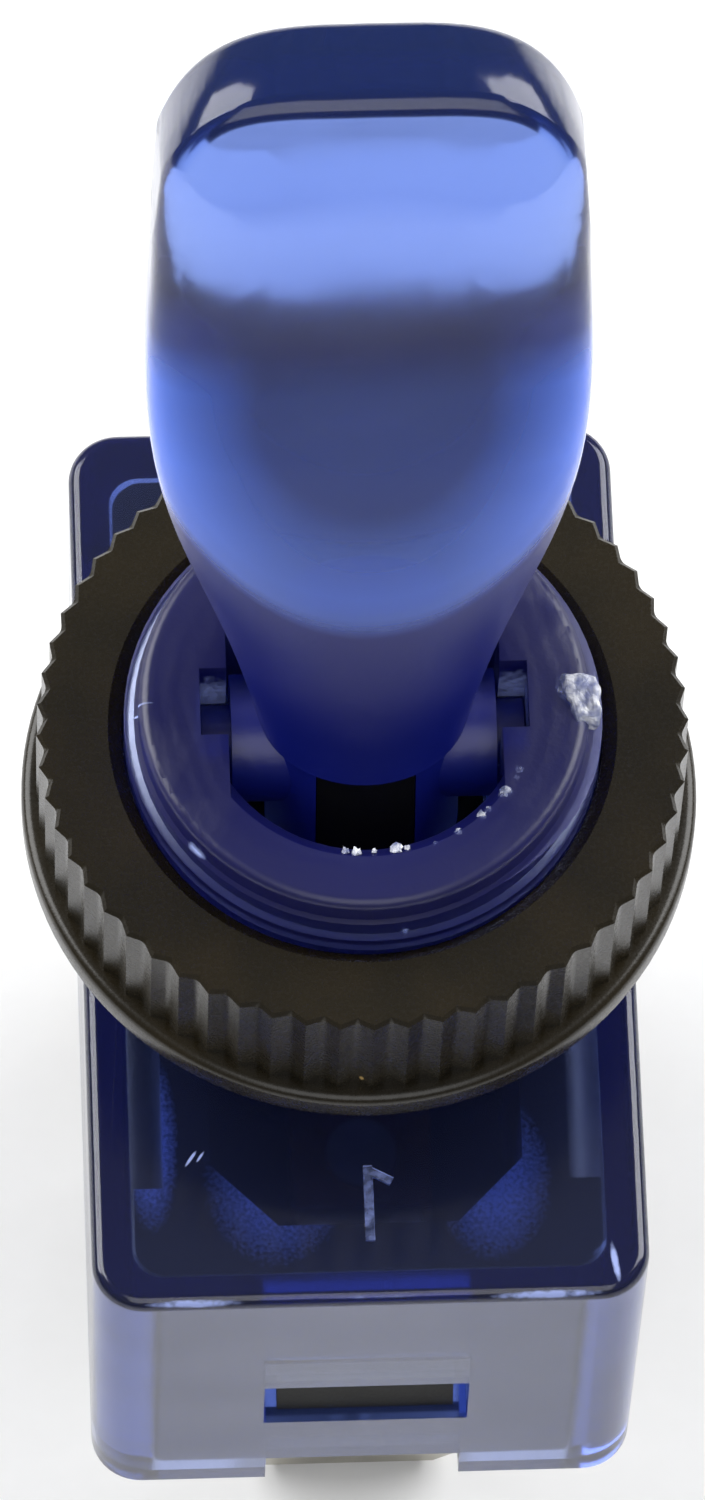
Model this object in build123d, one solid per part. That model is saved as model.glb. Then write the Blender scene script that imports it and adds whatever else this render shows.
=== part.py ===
from build123d import *
import os
from math import atan2, copysign, cos, degrees, pi, radians, sin

# Lighted two-position toggle switch for a 12 mm panel hole.
#
# A clear blue housing carries a threaded bushing, and a black face nut runs on its thread.
# A duckbill lever of the same clear blue snaps into the bushing by two trunnions. A sprung
# plunger under the lever rolls over a metal rocker, which closes or opens one contact pair.
# A small light sits inside the lever, fed through the plunger spring and a ground spring.
#
# Frame: origin on the bushing axis at the face that seats against the panel, +Z out of the
# panel, X along the lever's pivot, Y along the swing. At rest the lever leans to +Y.

# ---------------------------------------------------------------- driving dimensions, mm
# housing
HOUSING_X = 14.2
HOUSING_Y = 24.4
HOUSING_H = 13.1
WALL = 1.05
ROOF = 1.1
CORNER_R = 1.3
RIM_R = 0.35
WINDOW_X = 5.3
WINDOW_Z = (-8.9, -6.3)
NOTCH_X = 5.1
NOTCH_H = 1.45
RELIEF_H = 1.3
RELIEF_DEPTH = 0.35

# direction arrow sunk in the roof
ARROW_TIP_Y = -8.5
ARROW_LENGTH = 2.05
ARROW_BARB = 0.6
ARROW_BARB_DROP = 0.45
ARROW_LINE = 0.24
ARROW_DEPTH = 0.12

# bushing
THREAD_D = 12.0
THREAD_TOP = 9.2
BUSHING_H = 10.4
LEAD_STEP = 0.35
RIM_ROUND = 0.28
BORE_R = 4.0
BORE_FLAT = 3.42
MOUTH_CHAMFER = 0.3
FLARE_TOP = 3.0
FLARE_X = 2.0

# face nut
NUT_FLANGE_Z = 3.5
NUT_FLANGE_H = 1.1
NUT_FLANGE_OUT = 0.4
NUT_FLANGE_ROUND = 0.25
NUT_H = 5.1
NUT_WALL = 1.8
NUT_TOOTH_H = 0.4
NUT_RIDGES = 60
NUT_CREST = 0.1
NUT_TOP_EASE = 0.12
NUT_CLEAR = 0.05
NUT_CHAMFER = 0.35

# lever, measured along its own axis from the pivot
PIVOT_Z = 8.0
LEAN = 17.0
LEVER_TOP = 24.8
NECK_R = 2.65
NECK_FOOT = 1.2
HUB_R = 2.45
HUB_BOTTOM = -2.9
HUB_BORE_R = 1.85
HUB_SLOT = 2.5
HUB_BOSS_R = 1.6
HUB_SIDE_CLEAR = 0.1
TRUNNION_R = 0.85
TRUNNION_GRIP = 0.63
TRUNNION_CLEAR = 0.05
SNAP_SLOT = 1.5
SNAP_LEAD_IN = 0.5
TOP_ARCH = 0.5
TOP_CORNER_R = 3.0
TOP_EDGE_R = 0.4
TRIM_SPREAD = 2.0

# lever sections above its neck: height, half width, half thickness, squareness
LEVER_SECTIONS = [
    (4.0, 3.32, 2.60, 2.1),
    (7.2, 4.27, 2.68, 2.5),
    (10.2, 5.04, 2.58, 3.2),
    (14.5, 5.42, 2.08, 4.0),
    (19.5, 5.25, 1.67, 4.6),
    (LEVER_TOP + 0.6, 4.88, 1.25, 5.0),
]

# light inside the lever
LED_R = 1.5
LED_RIM_R = 1.8
LED_RIM_H = 0.9
LED_FOOT = 1.9
LED_H = 5.3
LED_CLEAR = 0.06
LED_DIE_H = 2.2
LEAD_D = 0.45
LEAD_SPREAD = 1.0
LEAD_BEND = 0.5

# actuator, plunger and its spring, along the lever's axis
FIT = 0.03
COLLAR_R = 2.4
COLLAR_H = 0.65
TUBE_R = 1.8
TUBE_CHAMFER = 0.2
TUBE_END = -8.6
SPRING_BORE_R = 1.25
SPRING_SEAT = -3.4
SPRING_LENGTH = 2.8
SPRING_WIRE = 0.28
SPRING_TURNS = 4.5
SPRING_CLEAR = 0.1
PLUNGER_CLEAR = 0.05
PLUNGER_BODY_L = 3.1
SPIGOT_R = 0.6
SPIGOT_H = 0.8
TIP_R = 1.0
TIP_REACH = 10.4

# rocker, a formed strip that tips on the load terminal's round top
FULCRUM_Z = -4.45
ROCK = 6.0
SHEET = 0.6
TIP_CLEAR = 0.05
ROCKER_W = 3.6
SADDLE_OVERRUN = 1.5
ARM_END = 7.9
LEG_END = -0.3
STRIP_BEND = 0.45
KNUCKLE_W = 1.9
KNUCKLE_DROP = 0.15
FULCRUM_CLEAR = 0.05

# contact rivets
CONTACT_REACH = 6.5
CONTACT_R = 1.25
CONTACT_H = 0.55
CONTACT_DOME = 3.5
CONTACT_GAP = 0.04
CONTACT_EDGE_R = 0.15
RIVET_R = 0.6
RIVET_HEAD_R = 0.9
RIVET_HEAD_H = 0.25
RIVET_CLEAR = 0.01

# base
BASE_CLEAR = 0.08
BASE_TOP_GAP = 0.1
BASE_RECESS = 0.5
BASE_WAIST_DEPTH = 0.77
BASE_WAIST_END = 2.37
BASE_FLANGE_H = 1.3
WELL_SIDE_WALL = 1.97
WELL_END_WALL = 1.27
WELL_CHAMFER = 1.7
WELL_FLOOR = -9.2
CATCH_X = 4.6
CATCH_OUT = 0.8
CATCH_SEAT = 0.1
STOP_X = 3.2
STOP_THICK = 1.3
STOP_CLEAR = 0.05

# blade terminals
BLADE_W = 6.3
BLADE_T = 0.8
BLADE_NECK_W = 5.0
BLADE_REACH = 10.0
BLADE_TIP_TAPER = 1.1
BLADE_TIP_CHAMFER = 0.25
BLADE_HOLE_R = 0.85
BLADE_HOLE_AT = 3.2
BLADE_SPACING = 8.0
BLADE_CLEAR = 0.04
FINGER_W = 3.2
GROUND_FINGER_W = 4.8
TAB_BEND_R = 0.72
GROUND_TOP = -6.3

# ground path
COIL_R = 0.35
COIL_WIRE = 0.25
COIL_TURNS = 10
COIL_FROM_CREST = 2.18
COIL_FOOT_Z = -5.55
COIL_CLEAR = 0.1
PAD_R = 0.9
HOOK_REACH = 3.35
HOOK_S = -0.9
RESISTOR_R = 0.85
RESISTOR_L = 3.2
RESISTOR_Y = 7.9
RESISTOR_Z = -4.4
RESISTOR_END_R = 0.3
RESISTOR_WIRE = 0.4
RESISTOR_BEND_X = 2.2
RESISTOR_BEND_R = 0.3

# ---------------------------------------------------------------- places that follow
THREAD_R = THREAD_D / 2
LEAD_R = THREAD_R - LEAD_STEP
NUT_ROOT_R = THREAD_R + NUT_WALL
NUT_TIP_R = NUT_ROOT_R + NUT_TOOTH_H
NUT_FLANGE_R = NUT_TIP_R + NUT_FLANGE_OUT
INNER_X = HOUSING_X - 2 * WALL
INNER_Y = HOUSING_Y - 2 * WALL
TRUNNION_END = BORE_FLAT + TRUNNION_GRIP
TRUNNION_HOLE_R = TRUNNION_R + TRUNNION_CLEAR
TRUNNION_HOLE_END = TRUNNION_END + TRUNNION_CLEAR
LED_TOP = LED_FOOT + LED_H
PLUNGER_TOP = SPRING_SEAT - SPRING_LENGTH
PLUNGER_STEP = PLUNGER_TOP - PLUNGER_BODY_L
ROCK_SHARE = ROCK / LEAN
BASE_TOP = -ROOF - BASE_TOP_GAP
BASE_BOTTOM = BASE_RECESS - HOUSING_H
BLADE_TIP = -HOUSING_H - BLADE_REACH
LEVER_AT_REST = Pos(0, 0, PIVOT_Z) * Rot(-LEAN, 0, 0)
ROCKER_AT_REST = Pos(0, 0, FULCRUM_Z) * Rot(ROCK, 0, 0)
DOME_CENTRE = CONTACT_DOME - CONTACT_H - SHEET / 2
FIXED_CONTACT_Y = -CONTACT_REACH * cos(radians(ROCK)) - DOME_CENTRE * sin(radians(ROCK))
DOME_CENTRE_Z = FULCRUM_Z - CONTACT_REACH * sin(radians(ROCK)) + DOME_CENTRE * cos(radians(ROCK))
FIXED_CONTACT_TOP = DOME_CENTRE_Z - CONTACT_DOME - CONTACT_GAP
TAB_TOP = FIXED_CONTACT_TOP - CONTACT_H


def block(x0, x1, y0, y1, z0, z1):
    """A box between two corners."""
    return Pos((x0 + x1) / 2, (y0 + y1) / 2, (z0 + z1) / 2) * Box(x1 - x0, y1 - y0, z1 - z0)


def rod(radius, z0, z1):
    """A round bar along Z between two heights."""
    return Pos(0, 0, (z0 + z1) / 2) * Cylinder(radius, z1 - z0)


def cross_rod(radius, half_length):
    """A round bar along X, centred."""
    return Rot(0, 90, 0) * Cylinder(radius, 2 * half_length)


def side_prism(outline, half_width):
    """A sketch drawn in (y, z), extruded both ways along X."""
    return extrude(Plane.YZ * outline, half_width, both=True)


def polygon(points):
    """A face with straight sides through the points."""
    return make_face(Polyline(*points, close=True))


def wire(points, diameter, bend=0.0):
    """A round wire along straight runs joined by arcs."""
    path = FilletPolyline(*points, radius=bend) if bend else Line(*points)
    start = Plane(origin=path @ 0, z_dir=path % 0)
    return sweep(start * Circle(diameter / 2), path)


def coil(length, mean_radius, diameter, turns):
    """A coil spring that stands on the origin along Z."""
    rise = length - diameter
    helix = Helix(rise / turns, rise, mean_radius)
    start = Plane(origin=helix @ 0, z_dir=helix % 0)
    return Pos(0, 0, diameter / 2) * sweep(start * Circle(diameter / 2), helix)


# ---------------------------------------------------------------- housing
def bushing_outside():
    """The shank at the thread's outer diameter, with its plain lead-in and round rim."""
    profile = polygon(
        [
            (0, -ROOF),
            (THREAD_R, -ROOF),
            (THREAD_R, THREAD_TOP),
            (LEAD_R, THREAD_TOP + LEAD_STEP),
            (LEAD_R, BUSHING_H),
            (0, BUSHING_H),
        ]
    )
    shank = revolve(Plane.XZ * profile, Axis.Z)
    rim = shank.edges().filter_by(GeomType.CIRCLE).sort_by(Axis.Z)[-1]
    return fillet(rim, RIM_ROUND)


def lever_bore():
    """The bore with two flats, its flare for the lever's lower arm, and the trunnion holes."""
    round_part = rod(BORE_R, -ROOF, BUSHING_H)
    mouth = Cone(BORE_R, BORE_R + MOUTH_CHAMFER, MOUTH_CHAMFER)
    round_part += Pos(0, 0, BUSHING_H - MOUTH_CHAMFER / 2) * mouth
    between_flats = block(-BORE_FLAT, BORE_FLAT, -THREAD_R, THREAD_R, -ROOF, BUSHING_H)
    seat_y = coil_edge(0)
    mouth_y = coil_edge(-ROOF)
    flare = polygon(
        [
            (-BORE_R, FLARE_TOP),
            (BORE_R, FLARE_TOP),
            (seat_y, 0),
            (mouth_y, -ROOF),
            (-mouth_y, -ROOF),
            (-seat_y, 0),
        ]
    )
    half_slot = SNAP_SLOT / 2
    slot = block(
        -TRUNNION_HOLE_END, TRUNNION_HOLE_END, -half_slot, half_slot, PIVOT_Z, BUSHING_H
    )
    lead_in = polygon(
        [
            (-TRUNNION_HOLE_R, BUSHING_H),
            (TRUNNION_HOLE_R, BUSHING_H),
            (half_slot, BUSHING_H - SNAP_LEAD_IN),
            (-half_slot, BUSHING_H - SNAP_LEAD_IN),
        ]
    )
    bore = round_part & between_flats
    bore += side_prism(flare, FLARE_X)
    bore += Pos(0, 0, PIVOT_Z) * cross_rod(TRUNNION_HOLE_R, TRUNNION_HOLE_END)
    return bore + slot + side_prism(lead_in, TRUNNION_HOLE_END)


def arrow():
    """A half-barbed arrow that points at the bushing."""
    shaft = Pos(0, ARROW_TIP_Y - ARROW_LENGTH / 2) * Rectangle(ARROW_LINE, ARROW_LENGTH)
    barb_end = (ARROW_BARB, ARROW_TIP_Y - ARROW_BARB_DROP)
    barb = trace(Line((0, ARROW_TIP_Y - ARROW_LINE / 2), barb_end), ARROW_LINE)
    return extrude(shaft + barb, -ARROW_DEPTH)


def housing():
    shell = extrude(RectangleRounded(HOUSING_X, HOUSING_Y, CORNER_R), -HOUSING_H)
    shell = fillet(shell.faces().sort_by(Axis.Z)[-1].edges(), RIM_R)
    cavity = extrude(RectangleRounded(INNER_X, INNER_Y, CORNER_R - WALL / 2), -HOUSING_H)
    shell -= Pos(0, 0, -ROOF) * cavity
    half_window = WINDOW_X / 2
    for side in (-1, 1):
        window = block(-half_window, half_window, -WALL, WALL, *WINDOW_Z)
        notch = block(-NOTCH_X / 2, NOTCH_X / 2, -WALL, WALL, -HOUSING_H, NOTCH_H - HOUSING_H)
        relief_top = WINDOW_Z[1] + RELIEF_H
        relief = block(
            -half_window, half_window, -RELIEF_DEPTH, RELIEF_DEPTH, WINDOW_Z[1], relief_top
        )
        shell -= Pos(0, side * (HOUSING_Y - WALL) / 2, 0) * (window + notch)
        shell -= Pos(0, side * INNER_Y / 2, 0) * relief
    shell += bushing_outside()
    return shell - lever_bore() - arrow()


# ---------------------------------------------------------------- face nut
def ridged_outline():
    """The nut from above: narrow crests with a round flute between each two."""
    step = 360 / NUT_RIDGES
    half_crest = degrees(NUT_CREST / 2 / NUT_TIP_R)
    lines = []
    for i in range(NUT_RIDGES):
        crest = i * step
        start, end, next_start = [
            Vector(NUT_TIP_R, 0).rotate(Axis.Z, crest + turn)
            for turn in (-half_crest, half_crest, step - half_crest)
        ]
        root = Vector(NUT_ROOT_R, 0).rotate(Axis.Z, crest + step / 2)
        lines += [Line(start, end), ThreePointArc(end, root, next_start)]
    return make_face(lines)


def face_nut():
    outline = ridged_outline()
    straight_h = NUT_H - NUT_TOP_EASE
    knurl = extrude(outline, straight_h)
    knurl += Pos(0, 0, straight_h) * extrude(outline, NUT_TOP_EASE, taper=45)
    flange = rod(NUT_FLANGE_R, 0, NUT_FLANGE_H)
    flange = fillet(flange.edges().filter_by(GeomType.CIRCLE), NUT_FLANGE_ROUND)
    bore_r = THREAD_R + NUT_CLEAR
    wide_r = bore_r + NUT_CHAMFER
    bore = rod(bore_r, 0, NUT_H)
    bore += Pos(0, 0, NUT_CHAMFER / 2) * Cone(wide_r, bore_r, NUT_CHAMFER)
    bore += Pos(0, 0, NUT_H - NUT_CHAMFER / 2) * Cone(bore_r, wide_r, NUT_CHAMFER)
    return Pos(0, 0, NUT_FLANGE_Z) * (knurl + flange - bore)


# ---------------------------------------------------------------- lever
def superellipse(half_x, half_y, squareness, points=40):
    """A closed curve between an ellipse, at squareness 2, and a rectangle."""
    power = 2 / squareness
    ring = []
    for i in range(points):
        turn = 2 * pi * i / points
        across, along = cos(turn), sin(turn)
        x = half_x * copysign(abs(across) ** power, across)
        y = half_y * copysign(abs(along) ** power, along)
        ring.append((x, y))
    return make_face(Spline(*ring, periodic=True))


def paddle_trim():
    """A tall prism whose arched top and round shoulders shape the paddle's end."""
    half = LEVER_SECTIONS[-1][1]
    foot = half + TRIM_SPREAD
    side_top = LEVER_TOP - TOP_ARCH
    outline = make_face(
        [
            ThreePointArc((-half, side_top), (0, LEVER_TOP), (half, side_top)),
            Line((half, side_top), (foot, HUB_BOTTOM)),
            Line((foot, HUB_BOTTOM), (-foot, HUB_BOTTOM)),
            Line((-foot, HUB_BOTTOM), (-half, side_top)),
        ]
    )
    outline = fillet(outline.vertices().sort_by(Axis.Y)[-2:], TOP_CORNER_R)
    return extrude(Plane.XZ * outline, 2 * NECK_R, both=True)


def paddle():
    """The round neck that widens and flattens into the duckbill, with a soft top edge."""
    neck = superellipse(NECK_R, NECK_R, 2)
    sections = [Pos(0, 0, NECK_FOOT) * neck]
    sections += [Pos(0, 0, s) * superellipse(a, b, n) for s, a, b, n in LEVER_SECTIONS]
    blade = loft(sections) & paddle_trim()
    shoulder = LEVER_TOP - TOP_ARCH - TOP_CORNER_R
    end_faces = [
        f for f in blade.faces() if f.center().Z > shoulder and f.normal_at().Z > 0.1
    ]
    rim = [e for f in end_faces for e in f.edges() if abs(e.center().Y) > TOP_EDGE_R]
    return fillet(rim, TOP_EDGE_R)


def lever():
    """The moulded lever: paddle, hub with its bosses and trunnions, hollow for the light."""
    body = paddle() + rod(HUB_R, HUB_BOTTOM, NECK_FOOT)
    body += cross_rod(HUB_BOSS_R, BORE_FLAT - HUB_SIDE_CLEAR)
    body += cross_rod(TRUNNION_R, TRUNNION_END)
    hollow = rod(HUB_BORE_R, HUB_BOTTOM, LED_TOP + LED_CLEAR)
    slot = block(-HUB_SLOT / 2, HUB_SLOT / 2, -NECK_R, NECK_R, HUB_BOTTOM, NECK_FOOT)
    return LEVER_AT_REST * (body - hollow - slot)


# ---------------------------------------------------------------- light in the lever
def lead_paths():
    """The two leads: one straight down to the spring seat, one bent out to a hook."""
    top = LED_FOOT + LED_DIE_H
    anode = wire([(0, -LEAD_SPREAD, top), (0, -LEAD_SPREAD, SPRING_SEAT + FIT)], LEAD_D)
    down_and_out = [(0, LEAD_SPREAD, top), (0, LEAD_SPREAD, HOOK_S), (0, HOOK_REACH, HOOK_S)]
    cathode = wire(down_and_out, LEAD_D, LEAD_BEND)
    cup = Pos(0, LEAD_SPREAD / 2, top) * Box(LEAD_D, LEAD_SPREAD, LEAD_D)
    return anode, cathode + cup


def led_leads():
    anode, cathode = lead_paths()
    return LEVER_AT_REST * (anode + cathode)


def led():
    lens = rod(LED_RIM_R, LED_FOOT, LED_FOOT + LED_RIM_H)
    lens += rod(LED_R, LED_FOOT, LED_TOP - LED_R)
    lens += Pos(0, 0, LED_TOP - LED_R) * Sphere(LED_R)
    anode, cathode = lead_paths()
    return LEVER_AT_REST * (lens - anode - cathode)


# ---------------------------------------------------------------- actuator and plunger
def actuator():
    """The plug keyed into the lever's hub, with the tube that guides the plunger."""
    plug = rod(HUB_BORE_R - FIT, HUB_BOTTOM, NECK_FOOT)
    half_key = HUB_SLOT / 2 - FIT
    key = block(-half_key, half_key, -HUB_R, HUB_R, HUB_BOTTOM, NECK_FOOT - FIT)
    key &= rod(HUB_R, HUB_BOTTOM, NECK_FOOT)
    collar = rod(COLLAR_R, HUB_BOTTOM - COLLAR_H, HUB_BOTTOM - FIT)
    tube = rod(TUBE_R, TUBE_END, HUB_BOTTOM)
    tube = chamfer(tube.edges().sort_by(Axis.Z)[0], TUBE_CHAMFER)
    hole_r = LEAD_D / 2 + FIT
    holes = rod(SPRING_BORE_R, TUBE_END, SPRING_SEAT)
    holes += Pos(0, -LEAD_SPREAD, 0) * rod(hole_r, SPRING_SEAT, NECK_FOOT)
    holes += Pos(0, LEAD_SPREAD, 0) * rod(hole_r, HOOK_S - hole_r, NECK_FOOT)
    holes += block(-hole_r, hole_r, LEAD_SPREAD, HUB_R, HOOK_S - hole_r, HOOK_S + LEAD_BEND)
    return LEVER_AT_REST * (plug + key + collar + tube - holes)


def plunger():
    body_r = SPRING_BORE_R - PLUNGER_CLEAR
    pin = rod(body_r, PLUNGER_STEP, PLUNGER_TOP)
    pin += rod(SPIGOT_R, PLUNGER_TOP, PLUNGER_TOP + SPIGOT_H)
    pin += rod(TIP_R, -TIP_REACH, PLUNGER_STEP)
    pin += Pos(0, 0, -TIP_REACH) * Sphere(TIP_R)
    return LEVER_AT_REST * pin


def plunger_spring():
    mean_r = SPRING_BORE_R - SPRING_CLEAR - SPRING_WIRE / 2
    spring = coil(SPRING_LENGTH, mean_r, SPRING_WIRE, SPRING_TURNS)
    return LEVER_AT_REST * Pos(0, 0, PLUNGER_TOP) * spring


# ---------------------------------------------------------------- rocker and contacts
def tip_in_rocker(angle):
    """Where the plunger's round tip sits in the rocker's frame when the lever is at an angle."""
    lever_turn = radians(angle)
    rock = -ROCK_SHARE * lever_turn
    y = TIP_REACH * sin(lever_turn)
    z = PIVOT_Z - FULCRUM_Z - TIP_REACH * cos(lever_turn)
    return Vector(y * cos(rock) + z * sin(rock), z * cos(rock) - y * sin(rock))


def below_tip(angle, distance):
    """The point at a distance under the tip's path, square to the path."""
    step = 0.1
    along = (tip_in_rocker(angle + step) - tip_in_rocker(angle - step)).normalized()
    return tip_in_rocker(angle) + Vector(along.Y, -along.X) * distance


def rocker_crest():
    """The middle of the strip at the saddle's end, in the rocker's frame."""
    return below_tip(LEAN + SADDLE_OVERRUN, TIP_R + TIP_CLEAR + SHEET / 2)


def rocker_outline():
    """The strip's side view: the saddle that clears the tip, an arm, a leg and a knuckle."""
    over = LEAN + SADDLE_OVERRUN
    upper = TIP_R + TIP_CLEAR
    angles = [over * i / 6 for i in range(-6, 7)]
    top = Spline(*[below_tip(a, upper) for a in angles])
    bottom = Spline(*[below_tip(a, upper + SHEET) for a in angles])
    saddle = make_face([top, Line(top @ 1, bottom @ 1), bottom, Line(bottom @ 0, top @ 0)])
    crest = rocker_crest()
    leg = trace(Line(crest, (crest.X, LEG_END)), SHEET)
    arm_start = (-crest.X - crest.Y / 4, 0)
    arm_path = FilletPolyline((-crest.X, crest.Y), arm_start, (-ARM_END, 0), radius=STRIP_BEND)
    arm = trace(arm_path, SHEET)
    round_crest = Circle(SHEET / 2)
    strip = saddle + leg + arm
    strip += Pos(crest.X, crest.Y) * round_crest + Pos(-crest.X, crest.Y) * round_crest
    seat_r = BLADE_T / 2 + FULCRUM_CLEAR
    knuckle_top = below_tip(0, upper + SHEET / 2).Y
    knuckle_h = knuckle_top + KNUCKLE_DROP
    strip += Pos(0, knuckle_top - knuckle_h / 2) * Rectangle(KNUCKLE_W, knuckle_h)
    open_foot = Pos(0, -seat_r) * Rectangle(2 * seat_r, 2 * seat_r)
    return strip - Circle(seat_r) - open_foot


def contact_rivet(length):
    """A rivet with its contact head below the origin's plane and its upset head above."""
    head = rod(CONTACT_R, -CONTACT_H, 0) & Pos(0, 0, CONTACT_DOME - CONTACT_H) * Sphere(CONTACT_DOME)
    shank = rod(RIVET_R, 0, length)
    return head + shank + rod(RIVET_HEAD_R, length, length + RIVET_HEAD_H)


def rocker_contact():
    strip = side_prism(rocker_outline(), ROCKER_W / 2)
    hole = Pos(0, -CONTACT_REACH, 0) * rod(RIVET_R + RIVET_CLEAR, -SHEET, SHEET)
    return ROCKER_AT_REST * (strip - hole)


def moving_contact():
    return ROCKER_AT_REST * Pos(0, -CONTACT_REACH, -SHEET / 2) * contact_rivet(SHEET)


def fixed_contact():
    head = fillet(rod(CONTACT_R, 0, CONTACT_H).edges().sort_by(Axis.Z)[-1], CONTACT_EDGE_R)
    rivet = head + rod(RIVET_R, -BLADE_T, 0)
    rivet += rod(RIVET_HEAD_R, -BLADE_T - RIVET_HEAD_H, -BLADE_T)
    return Pos(0, FIXED_CONTACT_Y, TAB_TOP) * rivet


# ---------------------------------------------------------------- terminals
def blade(y, finger_width, top):
    """A push-on blade with shoulders under the base and a finger up into the well."""
    half = BLADE_W / 2
    neck = BLADE_NECK_W / 2
    finger = finger_width / 2
    right = [
        (half - BLADE_TIP_TAPER, BLADE_TIP),
        (half, BLADE_TIP + BLADE_TIP_TAPER),
        (half, BASE_BOTTOM),
        (neck, BASE_BOTTOM),
        (neck, WELL_FLOOR),
        (finger, WELL_FLOOR),
        (finger, top),
    ]
    left = [(-x, z) for x, z in reversed(right)]
    body = extrude(Plane.XZ * polygon(right + left), BLADE_T / 2, both=True)
    tip_edges = body.edges().filter_by(Axis.X).sort_by(Axis.Z)[:2]
    body = chamfer(tip_edges, BLADE_TIP_CHAMFER)
    hole = Rot(90, 0, 0) * Cylinder(BLADE_HOLE_R, 2 * BLADE_T)
    return Pos(0, y, 0) * (body - Pos(0, 0, BLADE_TIP + BLADE_HOLE_AT) * hole)


def terminal_power():
    """The blade whose finger bends over to carry the fixed contact."""
    body = blade(-BLADE_SPACING, FINGER_W, TAB_TOP)
    half = FINGER_W / 2
    tab_end = FIXED_CONTACT_Y + CONTACT_R
    body += block(-half, half, -BLADE_SPACING, tab_end, TAB_TOP - BLADE_T, TAB_TOP)
    back = -BLADE_SPACING - BLADE_T / 2
    bend = [
        e
        for e in body.edges().filter_by(Axis.X)
        if abs(e.center().Y - back) < FIT and abs(e.center().Z - TAB_TOP) < FIT
    ]
    body = fillet(bend, TAB_BEND_R)
    return body - Pos(0, FIXED_CONTACT_Y, TAB_TOP) * rod(RIVET_R + RIVET_CLEAR, -BLADE_T, 0)


def terminal_load():
    """The middle blade, whose round top edge is the rocker's fulcrum."""
    body = blade(0, FINGER_W, FULCRUM_Z)
    return body + Pos(0, 0, FULCRUM_Z) * cross_rod(BLADE_T / 2, FINGER_W / 2)


def terminal_ground():
    return blade(BLADE_SPACING, GROUND_FINGER_W, GROUND_TOP)


# ---------------------------------------------------------------- base
def rocker_stop_top():
    """The height of the leg's lowest corner when the rocker is tipped the open way."""
    rock = radians(ROCK)
    leg_y = rocker_crest().X + SHEET / 2
    return FULCRUM_Z - leg_y * sin(rock) + LEG_END * cos(rock)


def base():
    """The black carrier: full width at its ends, waisted between, with one open well."""
    x = INNER_X - 2 * BASE_CLEAR
    y = INNER_Y - 2 * BASE_CLEAR
    body = extrude(RectangleRounded(x, y, CORNER_R - WALL / 2), BASE_TOP - BASE_BOTTOM)
    body = Pos(0, 0, BASE_BOTTOM) * body
    half_waist = y / 2 - BASE_WAIST_END
    waist_low = BASE_BOTTOM + BASE_FLANGE_H
    cut = block(x / 2 - BASE_WAIST_DEPTH, x, -half_waist, half_waist, waist_low, BASE_TOP)
    body -= cut + Rot(0, 0, 180) * cut
    well = Rectangle(x - 2 * WELL_SIDE_WALL, y - 2 * WELL_END_WALL)
    well = chamfer(well.vertices(), WELL_CHAMFER)
    body -= Pos(0, 0, WELL_FLOOR) * extrude(well, BASE_TOP - WELL_FLOOR)
    catch_low = WINDOW_Z[0] + CATCH_SEAT
    catch = polygon(
        [(y / 2 - CATCH_OUT, catch_low), (y / 2 + CATCH_OUT, catch_low), (y / 2, WINDOW_Z[1])]
    )
    body += side_prism(catch, CATCH_X / 2) + Rot(0, 0, 180) * side_prism(catch, CATCH_X / 2)
    half_slot = BLADE_T / 2 + BLADE_CLEAR
    half_neck = BLADE_NECK_W / 2 + BLADE_CLEAR
    for row in (-BLADE_SPACING, 0, BLADE_SPACING):
        slot = block(-half_neck, half_neck, -half_slot, half_slot, BASE_BOTTOM, WELL_FLOOR)
        body -= Pos(0, row, 0) * slot
    half_stop = STOP_THICK / 2
    stop_top = rocker_stop_top() - STOP_CLEAR
    stop = block(-STOP_X / 2, STOP_X / 2, -half_stop, half_stop, WELL_FLOOR, stop_top)
    pad = rod(PAD_R, WELL_FLOOR, COIL_FOOT_Z - RESISTOR_WIRE - FIT)
    return body + Pos(0, rocker_crest().X, 0) * stop + Pos(0, coil_foot_y(), 0) * pad


# ---------------------------------------------------------------- ground path
def coil_foot_y():
    """The ground spring stands clear of the rocker's far end."""
    return rocker_crest().X + COIL_FROM_CREST


def coil_rise():
    """The ground spring's line, from its pad to the hook of the light's lead."""
    hook = LEVER_AT_REST * Pos(0, HOOK_REACH - COIL_R, HOOK_S - LEAD_D / 2 - COIL_WIRE)
    return hook.position - Vector(0, coil_foot_y(), COIL_FOOT_Z)


def coil_edge(z):
    """How far along Y the housing opens to clear the ground spring at a height."""
    rise = coil_rise()
    middle = coil_foot_y() + rise.Y * (z - COIL_FOOT_Z) / rise.Z
    return middle + COIL_R + COIL_WIRE / 2 + COIL_CLEAR


def ground_spring():
    """The slack coil from the pad up through the bushing to the lead's hook."""
    rise = coil_rise()
    lean = degrees(atan2(rise.Y, rise.Z))
    spring = coil(rise.length, COIL_R, COIL_WIRE, COIL_TURNS)
    return Pos(0, coil_foot_y(), COIL_FOOT_Z) * Rot(-lean, 0, 0) * spring


def resistor():
    body = cross_rod(RESISTOR_R, RESISTOR_L / 2)
    body = fillet(body.edges().filter_by(GeomType.CIRCLE), RESISTOR_END_R)
    return Pos(0, RESISTOR_Y, RESISTOR_Z) * body


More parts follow.
